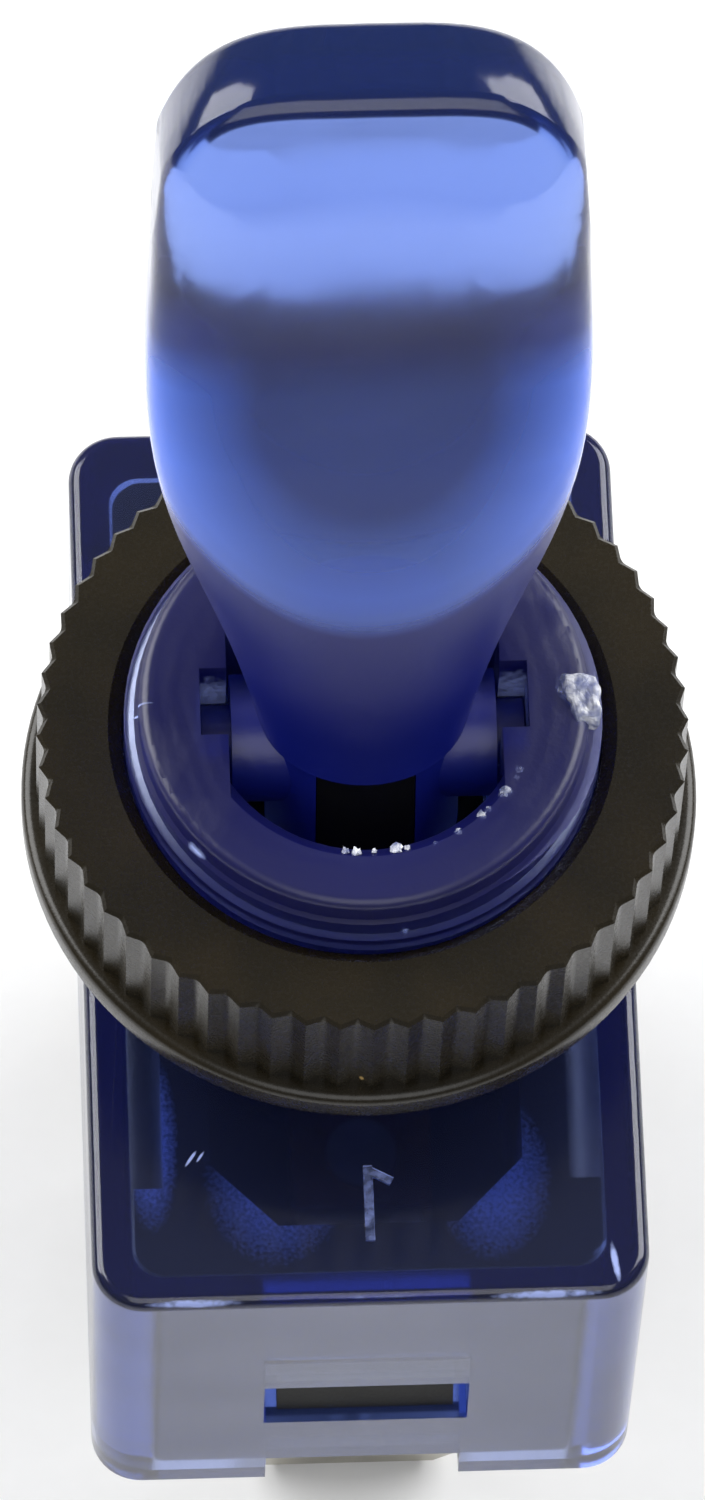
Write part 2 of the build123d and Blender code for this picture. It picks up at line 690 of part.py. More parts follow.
def resistor_leads():
    """One lead down onto the ground blade, one round to the pad under the coil."""
    end = RESISTOR_L / 2
    out = RESISTOR_BEND_X
    to_blade = [
        (-end, RESISTOR_Y, RESISTOR_Z),
        (-out, RESISTOR_Y, RESISTOR_Z),
        (-out, RESISTOR_Y, GROUND_TOP + FIT),
    ]
    pad_z = COIL_FOOT_Z - RESISTOR_WIRE / 2
    to_pad = [
        (end, RESISTOR_Y, RESISTOR_Z),
        (out, RESISTOR_Y, RESISTOR_Z),
        (out, coil_foot_y(), pad_z),
        (-COIL_R, coil_foot_y(), pad_z),
    ]
    return wire(to_blade, RESISTOR_WIRE, RESISTOR_BEND_R) + wire(to_pad, RESISTOR_WIRE, RESISTOR_BEND_R)


PIECES = {
    "housing": housing,
    "face_nut": face_nut,
    "lever": lever,
    "led": led,
    "led_leads": led_leads,
    "actuator": actuator,
    "plunger": plunger,
    "plunger_spring": plunger_spring,
    "rocker_contact": rocker_contact,
    "moving_contact": moving_contact,
    "fixed_contact": fixed_contact,
    "terminal_power": terminal_power,
    "terminal_load": terminal_load,
    "terminal_ground": terminal_ground,
    "base": base,
    "ground_spring": ground_spring,
    "resistor": resistor,
    "resistor_leads": resistor_leads,
}

os.makedirs("parts", exist_ok=True)
for name, make in PIECES.items():
    export_step(make(), f"parts/{name}.step")
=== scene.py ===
from math import copysign, cos, pi, radians, sin

import bpy
from mathutils import Matrix, Vector


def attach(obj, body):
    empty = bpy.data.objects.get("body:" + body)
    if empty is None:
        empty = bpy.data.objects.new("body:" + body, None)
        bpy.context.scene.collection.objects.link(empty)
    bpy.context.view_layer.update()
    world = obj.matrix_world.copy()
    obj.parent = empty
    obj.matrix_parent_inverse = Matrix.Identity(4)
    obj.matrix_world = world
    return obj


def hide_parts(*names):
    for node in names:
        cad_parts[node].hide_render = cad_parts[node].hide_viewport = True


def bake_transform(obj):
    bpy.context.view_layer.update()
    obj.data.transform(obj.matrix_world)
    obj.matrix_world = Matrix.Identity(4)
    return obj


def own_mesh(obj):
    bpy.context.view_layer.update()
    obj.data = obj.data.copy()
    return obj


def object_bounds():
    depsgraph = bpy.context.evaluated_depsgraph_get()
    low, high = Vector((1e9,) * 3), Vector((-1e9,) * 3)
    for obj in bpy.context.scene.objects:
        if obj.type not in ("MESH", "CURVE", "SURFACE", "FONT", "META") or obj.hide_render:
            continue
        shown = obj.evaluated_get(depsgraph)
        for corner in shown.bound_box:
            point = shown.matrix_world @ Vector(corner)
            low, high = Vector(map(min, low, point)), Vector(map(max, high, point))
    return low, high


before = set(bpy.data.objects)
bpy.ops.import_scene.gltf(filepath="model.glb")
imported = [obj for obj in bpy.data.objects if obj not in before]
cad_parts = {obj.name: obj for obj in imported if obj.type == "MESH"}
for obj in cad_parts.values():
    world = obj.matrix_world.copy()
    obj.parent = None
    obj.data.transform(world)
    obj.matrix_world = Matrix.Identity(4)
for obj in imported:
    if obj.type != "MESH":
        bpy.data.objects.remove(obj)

cad_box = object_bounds()

# ------------------------------------------------------------------ housing and bushing
# One injection moulding in clear blue polycarbonate: an open box whose roof carries the
# threaded bushing. The box is polished; the bushing and its thread are satin and rubbed.
MM = 0.001
THREAD_PITCH = 1.0 * MM
THREAD_DEPTH = 0.45 * MM
THREAD_CREST = 6.0 * MM
THREAD_START = 9.95 * MM
THREAD_END = 0.5 * MM
THREAD_STEPS = 72
EDGE_EASE = 0.04 * MM
MOULD_BLUE = "#F2F5FF"
BOX_TINT = ((0.0, 0.2, 0.7, 1), 800.0)
# A faint painted sheen over the box: a grey-blue film that brightens its sides as a reflection would.
BOX_SHEEN_BLUE = "#6674B8"
DEEP_BLUE = "#0A16A8"
# The whitened colour of scuffs, and of the painted light in the bushing's slots.
SCUFF_AND_SLOT_LIGHT_BLUE = "#A9B9F4"


def linear(hex_colour):
    """An sRGB hex colour as linear light."""
    channels = [int(hex_colour[i : i + 2], 16) / 255 for i in (1, 3, 5)]
    return tuple(c / 12.92 if c <= 0.04045 else ((c + 0.055) / 1.055) ** 2.4 for c in channels) + (1,)


def node(material, kind, inputs=None, stops=None, **settings):
    """Adds a node with its settings, fills its sockets with values or links, and sets a ramp's stops."""
    made = material.node_tree.nodes.new(kind)
    for name, value in settings.items():
        setattr(made, name, value)
    for socket, value in (inputs or {}).items():
        if isinstance(value, bpy.types.Node):
            value = value.outputs[0]
        if isinstance(value, bpy.types.NodeSocket):
            material.node_tree.links.new(value, made.inputs[socket])
        else:
            made.inputs[socket].default_value = value
    for i, (place, colour) in enumerate(stops or []):
        ramp = made.color_ramp.elements
        element = ramp[i] if i < len(ramp) else ramp.new(place)
        element.position = place
        element.color = linear(colour) if isinstance(colour, str) else (colour, colour, colour, 1)
    return made


def new_material(name):
    """An empty node material and its Object coordinates."""
    material = bpy.data.materials.new(name)
    material.use_nodes = True
    material.node_tree.nodes.clear()
    return material, node(material, "ShaderNodeTexCoord").outputs["Object"]


def only(piece):
    """Selects one object and nothing else."""
    if bpy.context.object and bpy.context.object.mode != "OBJECT":
        bpy.ops.object.mode_set(mode="OBJECT")
    bpy.ops.object.select_all(action="DESELECT")
    piece.select_set(True)
    bpy.context.view_layer.objects.active = piece


def welded_copy(cad_node, name):
    """A copy of a CAD node's shape as one closed skin."""
    piece = bpy.data.objects.new(name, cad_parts[cad_node].data.copy())
    bpy.context.scene.collection.objects.link(piece)
    only(piece)
    bpy.ops.object.mode_set(mode="EDIT")
    bpy.ops.mesh.select_all(action="SELECT")
    bpy.ops.mesh.remove_doubles(threshold=0.001 * MM)
    bpy.ops.mesh.customdata_custom_splitnormals_clear()
    bpy.ops.object.mode_set(mode="OBJECT")
    return piece


def apply(piece, kind, **settings):
    """Adds a modifier, sets it and applies it."""
    modifier = piece.modifiers.new(kind.lower(), kind)
    for name, value in settings.items():
        setattr(modifier, name, value)
    only(piece)
    bpy.ops.object.modifier_apply(modifier=modifier.name)


def settle(piece, name):
    """Names a piece and puts its place, turn and size into its mesh."""
    piece.name = name
    only(piece)
    bpy.ops.object.transform_apply(location=True, rotation=True, scale=True)
    return piece


def surface(piece, material):
    """One material all over."""
    piece.data.materials.clear()
    piece.data.materials.append(material)


def marks(material, place, spots, broken_by):
    """How much there is of the spots, which are rubs, scratches and specks, and also patches of painted
    light: each spot is a soft ellipsoid, given by its centre, half sizes and turn about Z, and a noise
    breaks it up."""
    total = 0.0
    for centre, half, turn in spots:
        near = node(
            material,
            "ShaderNodeMapping",
            {
                "Vector": place,
                "Location": [c * MM for c in centre],
                "Rotation": (0, 0, radians(turn)),
                "Scale": [h * MM for h in half],
            },
            vector_type="TEXTURE",
        )
        ball = node(material, "ShaderNodeTexGradient", {"Vector": near}, gradient_type="SPHERICAL")
        total = node(
            material, "ShaderNodeMath", {0: ball.outputs["Fac"], 1: total}, operation="MAXIMUM"
        )
    rough_edge = node(material, "ShaderNodeMath", {0: total, 1: broken_by}, operation="MULTIPLY")
    return node(material, "ShaderNodeValToRGB", {"Fac": rough_edge}, [(0.08, 0.0), (0.3, 1.0)])


def clear_blue_polycarbonate(name, satin, film_cover, roughness, tint, film, spots):
    """Clear blue polycarbonate, injection moulded: it tints by depth, so thin walls are pale and
    long paths deep blue, by the tint's colour and density. satin is a mask for where the mould
    was left dull, and it also picks the film colour, polished and dull. The glow mask says how much
    of a diffuse film in that colour lies over the glass: deep blue scatter on the bushing, a faint
    painted sheen on the box, and painted glow and painted shade on the lever. The spots whiten it:
    scuffs, and in the housing's slots painted light."""
    material, place = new_material(name)
    satin = satin(material, place)
    flow = node(material, "ShaderNodeTexNoise", {"Vector": place, "Scale": 1 / (4 * MM), "Detail": 1.0})
    rub = node(material, "ShaderNodeTexNoise", {"Vector": place, "Scale": 1 / (0.25 * MM), "Detail": 4.0})
    wave = node(
        material, "ShaderNodeBump", {"Height": flow.outputs["Fac"], "Distance": 0.035 * MM, "Strength": 1.0}
    )
    turned = node(
        material,
        "ShaderNodeTexWave",
        {"Vector": place, "Scale": pi / (10 * 0.5 * MM), "Distortion": 4.0, "Detail": 2.0},
        wave_type="RINGS",
        rings_direction="Z",
    )
    relief = node(
        material,
        "ShaderNodeMath",
        {0: turned.outputs["Fac"], 1: 0.35, 2: rub.outputs["Fac"]},
        operation="MULTIPLY_ADD",
    )
    skin_depth = node(material, "ShaderNodeMath", {0: satin, 1: 0.01 * MM}, operation="MULTIPLY")
    skin = node(
        material,
        "ShaderNodeBump",
        {"Height": relief, "Distance": skin_depth, "Strength": 1.0, "Normal": wave},
    )
    scuff_and_light = marks(material, place, spots, rub.outputs["Fac"])
    dull = node(
        material,
        "ShaderNodeMapRange",
        {"Value": satin, "To Min": roughness[0], "To Max": roughness[1]},
    )
    cloud = node(
        material, "ShaderNodeMath", {0: flow.outputs["Fac"], 1: 0.08, 2: dull}, operation="MULTIPLY_ADD"
    )
    glass = node(
        material,
        "ShaderNodeBsdfPrincipled",
        {
            "Base Color": linear(MOULD_BLUE),
            "Roughness": cloud,
            "IOR": 1.58,
            "Transmission Weight": 1.0,
            "Normal": skin,
        },
    )
    film_colour = node(
        material, "ShaderNodeValToRGB", {"Fac": satin}, [(0.0, film[0]), (1.0, film[1])]
    )
    film_coat = node(
        material,
        "ShaderNodeBsdfPrincipled",
        {"Base Color": film_colour, "Roughness": cloud, "IOR": 1.58, "Normal": skin},
    )
    body = node(material, "ShaderNodeMixShader", {0: film_cover(material, place), 1: glass, 2: film_coat})
    white = node(
        material, "ShaderNodeBsdfPrincipled", {"Base Color": linear(SCUFF_AND_SLOT_LIGHT_BLUE), "Roughness": 0.45}
    )
    skin_scuffs_and_light = node(material, "ShaderNodeMixShader", {0: scuff_and_light, 1: body, 2: white})
    depth = node(material, "ShaderNodeVolumeAbsorption", {"Color": tint[0], "Density": tint[1]})
    node(material, "ShaderNodeOutputMaterial", {"Surface": skin_scuffs_and_light, "Volume": depth})
    return material


def shank_only(material, place):
    """1 on the bushing, 0 on the box under it."""
    height = node(material, "ShaderNodeSeparateXYZ", {"Vector": place}).outputs["Z"]
    return node(
        material, "ShaderNodeMapRange", {"Value": height, "From Min": 0.02 * MM, "From Max": 0.6 * MM}
    ).outputs["Result"]


def shank_scatter_and_sheen(material, place):
    """A diffuse film: deep blue scatter in the thick bushing, and on the box a faint painted sheen."""
    shank = node(
        material,
        "ShaderNodeMapRange",
        {"Value": shank_only(material, place), "To Min": 0.05, "To Max": 0.15},
    )
    return shank.outputs["Result"]


# Spots on the housing: centre, half sizes and turn. Most are real scratches, specks and rubs; the last two
# are painted light.
HOUSING_MARKS_AND_SLOT_LIGHT = [
    ((-4.5, -12.12, -0.1), (1.5, 0.16, 0.16), 0),
    ((4.4, -12.12, -0.1), (1.8, 0.16, 0.16), 1),
    ((6.2, -11.3, 0.0), (0.12, 0.7, 0.1), 8),
    ((-4.5, -8.2, 0.0), (0.06, 0.32, 0.06), -35),
    ((-4.25, -8.15, 0.0), (0.05, 0.25, 0.06), -35),
    ((0.84, -5.62, 8.9), (0.14, 0.2, 0.14), 0),
    ((-4.2, -3.7, 9.4), (0.16, 0.5, 0.6), 48),
    ((-5.7, 0.0, 9.9), (0.7, 0.05, 1.0), 0),
    ((5.5, 0.2, 10.1), (0.5, 0.3, 0.5), 0),
    ((0.15, -9.55, -0.075), (2.4, 3.4, 0.07), 0),
    # Painted light: pale blue patches over the walls of the bushing's two slots, which lie in shade.
    ((-3.9, 0.0, 8.4), (1.6, 1.9, 2.3), 0),
    ((3.9, 0.0, 8.4), (1.6, 1.9, 2.3), 0),
]

housing = welded_copy("housing", "clear_housing")
apply(
    housing,
    "BEVEL",
    width=EDGE_EASE,
    segments=2,
    limit_method="ANGLE",
    angle_limit=radians(40),
    use_clamp_overlap=True,
)
profile_radius = (THREAD_DEPTH + 0.15 * MM) / 1.5
bpy.ops.mesh.primitive_circle_add(
    vertices=3,
    radius=profile_radius,
    location=(THREAD_CREST - THREAD_DEPTH + profile_radius, 0, THREAD_START),
    rotation=(pi / 2, pi / 2, 0),
)
groove = settle(bpy.context.object, "thread_groove")
apply(
    groove,
    "SCREW",
    axis="Z",
    angle=2 * pi,
    screw_offset=-THREAD_PITCH,
    iterations=round((THREAD_START - THREAD_END) / THREAD_PITCH),
    steps=THREAD_STEPS,
    render_steps=THREAD_STEPS,
    use_merge_vertices=False,
)
bpy.ops.object.mode_set(mode="EDIT")
bpy.ops.mesh.select_all(action="SELECT")
bpy.ops.mesh.fill_holes(sides=3)
bpy.ops.mesh.select_all(action="SELECT")
bpy.ops.mesh.normals_make_consistent(inside=False)
bpy.ops.object.mode_set(mode="OBJECT")
apply(housing, "BOOLEAN", operation="DIFFERENCE", object=groove, solver="EXACT")
bpy.data.objects.remove(groove)
only(housing)
bpy.ops.object.shade_smooth_by_angle(angle=radians(28))
apply(housing, "WEIGHTED_NORMAL", keep_sharp=True, weight=100)
surface(
    housing,
    clear_blue_polycarbonate(
        "blue_polycarbonate_box",
        shank_only,
        shank_scatter_and_sheen,
        (0.09, 0.34),
        BOX_TINT,
        (BOX_SHEEN_BLUE, DEEP_BLUE),
        HOUSING_MARKS_AND_SLOT_LIGHT,
    ),
)
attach(housing, "switch_body")
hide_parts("housing")

# ------------------------------------------------------------------ gate remnant and flash
# Where the moulding was broken off its runner, a ragged whitened lump stays on the rim, and
# thin flash has torn into small crumbs round the bore's mouth.


def torn_polycarbonate():
    """Torn clear plastic: full of tiny cracks, so it scatters a bluish white."""
    material, place = new_material("torn_polycarbonate")
    cracks = node(
        material,
        "ShaderNodeTexVoronoi",
        {"Vector": place, "Scale": 1 / (0.18 * MM)},
        feature="DISTANCE_TO_EDGE",
    )
    cloud = node(material, "ShaderNodeTexNoise", {"Vector": place, "Scale": 1 / (0.3 * MM), "Detail": 3.0})
    colour = node(
        material,
        "ShaderNodeValToRGB",
        {"Fac": cloud.outputs["Fac"]},
        [(0.35, "#A8B2DC"), (0.62, "#F0F2F8")],
    )
    facets = node(
        material, "ShaderNodeBump", {"Height": cracks, "Distance": 0.05 * MM, "Strength": 0.8}
    )
    clear = node(
        material,
        "ShaderNodeValToRGB",
        {"Fac": cloud.outputs["Fac"]},
        [(0.4, 0.6), (0.65, 0.1)],
    )
    shader = node(
        material,
        "ShaderNodeBsdfPrincipled",
        {
            "Base Color": colour,
            "Roughness": 0.3,
            "IOR": 1.58,
            "Transmission Weight": clear,
            "Normal": facets,
        },
    )
    node(material, "ShaderNodeOutputMaterial", {"Surface": shader})
    return material


def pick_faces(piece, wanted):
    """Goes into edit mode with only the wanted faces selected."""
    only(piece)
    bpy.ops.object.mode_set(mode="EDIT")
    bpy.ops.mesh.select_mode(type="FACE")
    bpy.ops.mesh.select_all(action="DESELECT")
    bpy.ops.object.mode_set(mode="OBJECT")
    for face in piece.data.polygons:
        face.select = wanted(face)
    bpy.ops.object.mode_set(mode="EDIT")


torn = torn_polycarbonate()
bpy.ops.mesh.primitive_cube_add(size=0.74 * MM, location=(5.5 * MM, 0.05 * MM, 10.25 * MM))
gate = settle(bpy.context.object, "gate_remnant")
pick_faces(gate, lambda face: face.normal.y < -0.9)
bpy.ops.mesh.extrude_region_move(TRANSFORM_OT_translate={"value": (0.1 * MM, -0.5 * MM, -0.1 * MM)})
bpy.ops.transform.resize(value=(0.75, 1, 0.7))
pick_faces(gate, lambda face: face.normal.x < -0.9 and face.center.y > -0.4 * MM)
bpy.ops.mesh.extrude_region_move(TRANSFORM_OT_translate={"value": (-0.3 * MM, 0.25 * MM, -0.05 * MM)})
bpy.ops.transform.resize(value=(1, 0.5, 0.5))
bpy.ops.mesh.select_all(action="SELECT")
bpy.ops.mesh.subdivide(number_cuts=3)
bpy.ops.transform.vertex_random(offset=0.1 * MM, uniform=0.5, normal=0.5, seed=7)
bpy.ops.object.mode_set(mode="OBJECT")
apply(gate, "SUBSURF", levels=1, render_levels=1)
surface(gate, torn)
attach(gate, "switch_body")

CRUMBS = [
    (-0.62, -4.1, 0.08),
    (-0.35, -4.14, 0.13),
    (0.1, -4.12, 0.07),
    (0.66, -4.08, 0.15),
    (0.92, -4.06, 0.08),
    (1.62, -3.95, 0.06),
    (2.2, -3.66, 0.09),
    (2.8, -3.22, 0.13),
    (2.98, -3.08, 0.08),
    (3.42, -2.64, 0.16),
    (3.72, -2.24, 0.07),
    (3.8, -2.02, 0.1),
]
bpy.ops.mesh.primitive_ico_sphere_add(subdivisions=2, radius=1.0 * MM)
crumb = settle(bpy.context.object, "bore_flash")
bpy.ops.object.mode_set(mode="EDIT")
bpy.ops.mesh.select_all(action="SELECT")
bpy.ops.transform.vertex_random(offset=0.35 * MM, uniform=0.3, normal=0.6, seed=4)
bpy.ops.object.mode_set(mode="OBJECT")
first = crumb.data.copy()
crumb.data.transform(Matrix.Translation(Vector((*CRUMBS[0][:2], 10.3)) * MM) @ Matrix.Scale(0.1, 4))
for i, (x, y, size) in enumerate(CRUMBS[1:]):
    other = bpy.data.objects.new("crumb", first.copy())
    bpy.context.scene.collection.objects.link(other)
    turn = Matrix.Rotation(i, 4, "Z") @ Matrix.Rotation(2 * i, 4, "X")
    other.data.transform(Matrix.Translation(Vector((x, y, 10.3)) * MM) @ turn @ Matrix.Scale(size, 4))
    only(crumb)
    other.select_set(True)
    bpy.ops.object.join()
surface(crumb, torn)
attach(crumb, "switch_body")

# ------------------------------------------------------------------ base
# The carrier that clicks up into the housing, moulded in glass-filled black nylon: a dull
# black skin with short pale fibres in it.


def finish(cad_node, material):
    """Gives a CAD node its finish."""
    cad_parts[cad_node].material_slots[0].material = material


def black_nylon(name, dark, pale, roughness, grit, gloss=0.35, spots=(), spot_colour=None):
    """Black nylon from a spark-eroded mould: soft wide highlights over a fine grain of the given
    depth, a little paler in clouds, and another colour in spots: specks, and on the base patches
    of painted light."""
    material, place = new_material(name)
    grain = node(material, "ShaderNodeTexNoise", {"Vector": place, "Scale": 1 / (0.1 * MM), "Detail": 3.0})
    cloud = node(material, "ShaderNodeTexNoise", {"Vector": place, "Scale": 1 / (2 * MM), "Detail": 4.0})
    bump = node(
        material, "ShaderNodeBump", {"Height": grain.outputs["Fac"], "Distance": grit, "Strength": 0.6}
    )
    colour = node(
        material, "ShaderNodeValToRGB", {"Fac": cloud.outputs["Fac"]}, [(0.35, dark), (0.75, pale)]
    )
    if spots:
        rub = marks(material, place, spots, grain.outputs["Fac"])
        colour = node(
            material,
            "ShaderNodeMix",
            {"Factor": rub, "A": colour, "B": linear(spot_colour)},
            data_type="RGBA",
        )
    dull = node(
        material,
        "ShaderNodeMapRange",
        {"Value": grain.outputs["Fac"], "To Min": roughness - 0.08, "To Max": roughness + 0.08},
    )
    shader = node(
        material,
        "ShaderNodeBsdfPrincipled",
        {
            "Base Color": colour.outputs["Result" if spots else "Color"],
            "Roughness": dull,
            "IOR": 1.5,
            "Specular IOR Level": gloss,
            "Normal": bump,
        },
    )
    node(material, "ShaderNodeOutputMaterial", {"Surface": shader})
    return material


# Painted light on the black base: pale blue patches, two lobes at the front and a strip at the left, where
# light comes in through the clear housing.
BASE_PAINTED_LIGHT = [
    ((-2.35, -8.6, -2.4), (2.4, 3.0, 3.4), 0),
    ((3.2, -8.6, -2.4), (2.0, 3.0, 3.4), 0),
    ((-5.5, -7.4, -1.3), (0.85, 3.0, 2.4), 0),
]
finish(
    "base",
    black_nylon(
        "glass_filled_black_nylon", "#0C0C0A", "#191916", 0.5, 0.012 * MM, 0.35, BASE_PAINTED_LIGHT, "#B4C6FF"
    ),
)

# ------------------------------------------------------------------ blades and fixed contact
# Three push-on blades stamped from brass strip, two of them tin plated. The power blade's
# finger is bent over and carries a silver rivet.


def rolled_metal(name, bright, stained, roughness, grain, stretch):
    """Rolled or drawn metal: fine lines along the rolling, which stretch gives, and soft stains."""
    material, place = new_material(name)
    lined = node(material, "ShaderNodeMapping", {"Vector": place, "Scale": stretch})
    lines = node(
        material, "ShaderNodeTexNoise", {"Vector": lined, "Scale": 1 / (grain * MM), "Detail": 3.0}
    )
    stain = node(material, "ShaderNodeTexNoise", {"Vector": place, "Scale": 1 / (2.5 * MM), "Detail": 3.0})
    colour = node(
        material, "ShaderNodeValToRGB", {"Fac": stain.outputs["Fac"]}, [(0.35, stained), (0.65, bright)]
    )
    dull = node(
        material,
        "ShaderNodeMapRange",
        {"Value": lines.outputs["Fac"], "To Min": roughness - 0.08, "To Max": roughness + 0.12},
    )
    bump = node(
        material,
        "ShaderNodeBump",
        {"Height": lines.outputs["Fac"], "Distance": 0.004 * MM, "Strength": 0.5},
    )
    shader = node(
        material,
        "ShaderNodeBsdfPrincipled",
        {"Base Color": colour, "Metallic": 1.0, "Roughness": dull, "Normal": bump},
    )
    node(material, "ShaderNodeOutputMaterial", {"Surface": shader})
    return material


ALONG_Y = (1, 0.06, 1)
ALONG_Z = (1, 1, 0.06)
tin_plate = rolled_metal("tin_plated_brass", "#C9C6BC", "#A8A59C", 0.3, 0.08, ALONG_Z)
finish("terminal_power", tin_plate)
finish("terminal_load", tin_plate)
finish("terminal_ground", rolled_metal("bare_brass", "#D3AE5E", "#A98645", 0.28, 0.08, ALONG_Z))
silver = rolled_metal("contact_silver", "#8E8C86", "#66645F", 0.35, 0.1, (1, 1, 1))
finish("fixed_contact", silver)

# ------------------------------------------------------------------ rocker
# A copper strip, stamped and bent, that tips on the middle blade, with a silver rivet.
finish("rocker_contact", rolled_metal("copper_strip", "#6E4630", "#4C3020", 0.36, 0.08, ALONG_Y))
finish("moving_contact", silver)

# ------------------------------------------------------------------ ground path
# A slack coil of fine spring wire runs from a pad up to the light's lead, and a small carbon
# film resistor joins the pad to the ground blade.
GROUND_COIL_FOOT = Vector((0.0, 5.9005, -5.55)) * MM
GROUND_COIL_RISE = Vector((0.0, -3.4336, 11.358)) * MM
GROUND_COIL_R = 0.35 * MM
GROUND_WIRE = 0.25 * MM
GROUND_TURNS = 10


def coil(name, mean_radius, wire, length, turns, foot, axis):
    """A coil spring wound from round wire, standing on foot along axis, its wire's ends closed."""
    bpy.ops.mesh.primitive_circle_add(
        vertices=12,
        radius=wire / 2,
        location=(mean_radius, 0, wire / 2),
        rotation=(pi / 2, 0, 0),
    )
    spring = settle(bpy.context.object, name)
    whole = int(turns)
    apply(
        spring,
        "SCREW",
        axis="Z",
        angle=2 * pi * turns / whole,
        screw_offset=(length - wire) / whole,
        iterations=whole,
        steps=28,
        render_steps=28,
        use_merge_vertices=False,
    )
    bpy.ops.object.mode_set(mode="EDIT")
    bpy.ops.mesh.select_all(action="SELECT")
    bpy.ops.mesh.fill_holes(sides=12)
    bpy.ops.mesh.select_all(action="SELECT")
    bpy.ops.mesh.normals_make_consistent(inside=False)
    bpy.ops.object.mode_set(mode="OBJECT")
    bpy.ops.object.shade_smooth_by_angle(angle=radians(40))
    spring.rotation_euler = axis.to_track_quat("Z", "Y").to_euler()
    spring.location = foot
    return settle(spring, name)


spring_wire = rolled_metal("music_wire", "#B9BAB8", "#8F908E", 0.28, 0.1, (1, 1, 1))
ground_coil = coil(
    "ground_coil",
    GROUND_COIL_R,
    GROUND_WIRE,
    GROUND_COIL_RISE.length,
    GROUND_TURNS,
    GROUND_COIL_FOOT,
    GROUND_COIL_RISE,
)
surface(ground_coil, spring_wire)
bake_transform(ground_coil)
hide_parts("ground_spring")
wire_tin = rolled_metal("tinned_copper_wire", "#CFCCC4", "#A9A69D", 0.28, 0.1, (1, 1, 1))
finish("resistor_leads", wire_tin)

RESISTOR_HALF = 1.6 * MM
lacquer, lacquer_place = new_material("resistor_lacquer")
lacquer_across = node(lacquer, "ShaderNodeSeparateXYZ", {"Vector": lacquer_place}).outputs["X"]
lacquer_along = node(
    lacquer,
    "ShaderNodeMapRange",
    {"Value": lacquer_across, "From Min": -RESISTOR_HALF, "From Max": RESISTOR_HALF},
)
lacquer_bands = node(
    lacquer,
    "ShaderNodeValToRGB",
    {"Fac": lacquer_along},
    [
        (0.0, "#B99B6A"),
        (0.16, "#7A4A22"),
        (0.24, "#B99B6A"),
        (0.36, "#1E1C1A"),
        (0.44, "#B99B6A"),
        (0.54, "#7A4A22"),
        (0.62, "#B99B6A"),
        (0.80, "#B08C3A"),
        (0.88, "#B99B6A"),
    ],
)
lacquer_bands.color_ramp.interpolation = "CONSTANT"
lacquer_orange_peel = node(
    lacquer, "ShaderNodeTexNoise", {"Vector": lacquer_place, "Scale": 1 / (0.3 * MM), "Detail": 2.0}
)
lacquer_bump = node(
    lacquer,
    "ShaderNodeBump",
    {"Height": lacquer_orange_peel.outputs["Fac"], "Distance": 0.02 * MM, "Strength": 0.6},
)
lacquer_coat = node(
    lacquer,
    "ShaderNodeBsdfPrincipled",
    {"Base Color": lacquer_bands, "Roughness": 0.3, "IOR": 1.5, "Normal": lacquer_bump},
)
node(lacquer, "ShaderNodeOutputMaterial", {"Surface": lacquer_coat})
finish("resistor", lacquer)

# ------------------------------------------------------------------ actuator and plunger
# A smooth black acetal plug keyed into the lever's hub, with a tube that guides a natural
# nylon plunger; a short coil in the tube pushes the plunger down on the rocker.
PIVOT = Vector((0.0, 0.0, 8.0)) * MM
LEVER_AXIS = Vector((0.0, sin(radians(17.0)), cos(radians(17.0))))
PLUNGER_TOP = -6.2 * MM
SPRING_SEAT = -3.4 * MM
PLUNGER_WIRE = 0.28 * MM
PLUNGER_COIL_R = 1.01 * MM
PLUNGER_TURNS = 4.5

finish("actuator", black_nylon("black_acetal", "#0A0A0A", "#131312", 0.32, 0.004 * MM))
finish("plunger", black_nylon("natural_nylon", "#CFCABA", "#DEDACB", 0.4, 0.008 * MM))
spring_length = SPRING_SEAT - PLUNGER_TOP
plunger_coil = coil(
    "plunger_coil",
    PLUNGER_COIL_R,
    PLUNGER_WIRE,
    spring_length,
    PLUNGER_TURNS,
    PIVOT + LEVER_AXIS * PLUNGER_TOP,
    LEVER_AXIS,
)
surface(plunger_coil, spring_wire)
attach(plunger_coil, "lever_arm")
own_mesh(plunger_coil)
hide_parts("plunger_spring")

# ------------------------------------------------------------------ light
# A 3 mm light-emitting diode in water-clear epoxy, cast and glossy, on two tinned leads.
finish("led_leads", wire_tin)
epoxy, epoxy_place = new_material("clear_epoxy")
epoxy_haze = node(
    epoxy, "ShaderNodeTexNoise", {"Vector": epoxy_place, "Scale": 1 / (1.5 * MM), "Detail": 2.0}
)
epoxy_dull = node(
    epoxy,
    "ShaderNodeMapRange",
    {"Value": epoxy_haze.outputs["Fac"], "To Min": 0.02, "To Max": 0.1},
)
epoxy_cast = node(
    epoxy,
    "ShaderNodeBsdfPrincipled",
    {"Base Color": linear("#F2F4F2"), "Roughness": epoxy_dull, "IOR": 1.53, "Transmission Weight": 1.0},
)
node(epoxy, "ShaderNodeOutputMaterial", {"Surface": epoxy_cast})
finish("led", epoxy)

# ------------------------------------------------------------------ lever
# A duckbill in the same clear blue polycarbonate, polished outside and solid above the
# light's pocket, whose walls the core pin left dull. Its trunnions snap into the bushing.
# A pale blue film along the paddle is painted glow, and a dark blue one on the neck and
# the pocket's walls is painted shade.
POCKET_R = 1.95 * MM
POCKET_TOP = 7.4 * MM
LEVER_TINT = ((0.0, 0.27, 0.8, 1), 450.0)
